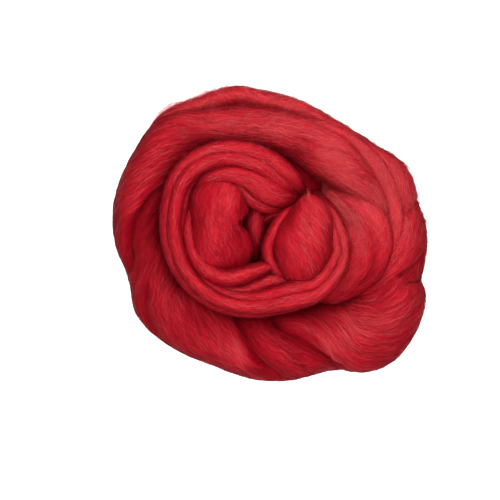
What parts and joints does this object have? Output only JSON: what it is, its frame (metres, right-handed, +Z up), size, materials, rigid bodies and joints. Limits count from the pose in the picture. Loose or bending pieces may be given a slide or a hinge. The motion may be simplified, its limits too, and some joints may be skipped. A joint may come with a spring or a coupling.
{
  "type": "wool roving nest",
  "caption": "Loose round nest of combed wool roving, one thick soft strand wound clockwise and folded into the middle, lying flat.",
  "frame": {"origin": "middle of the footprint, on the surface the nest lies on", "axes": "+Z up out of the nest; +X to the right and +Y away, as seen by someone looking straight down on it"},
  "size_m": [0.2022, 0.1897, 0.0637],
  "materials": {
    "combed_wool": "matt combed red wool with a soft silky sheen along the fibres and a hazy edge of loose hairs"
  },
  "bodies": {
    "root": {"wound_roving": "combed_wool"}
  },
  "joints": []
}
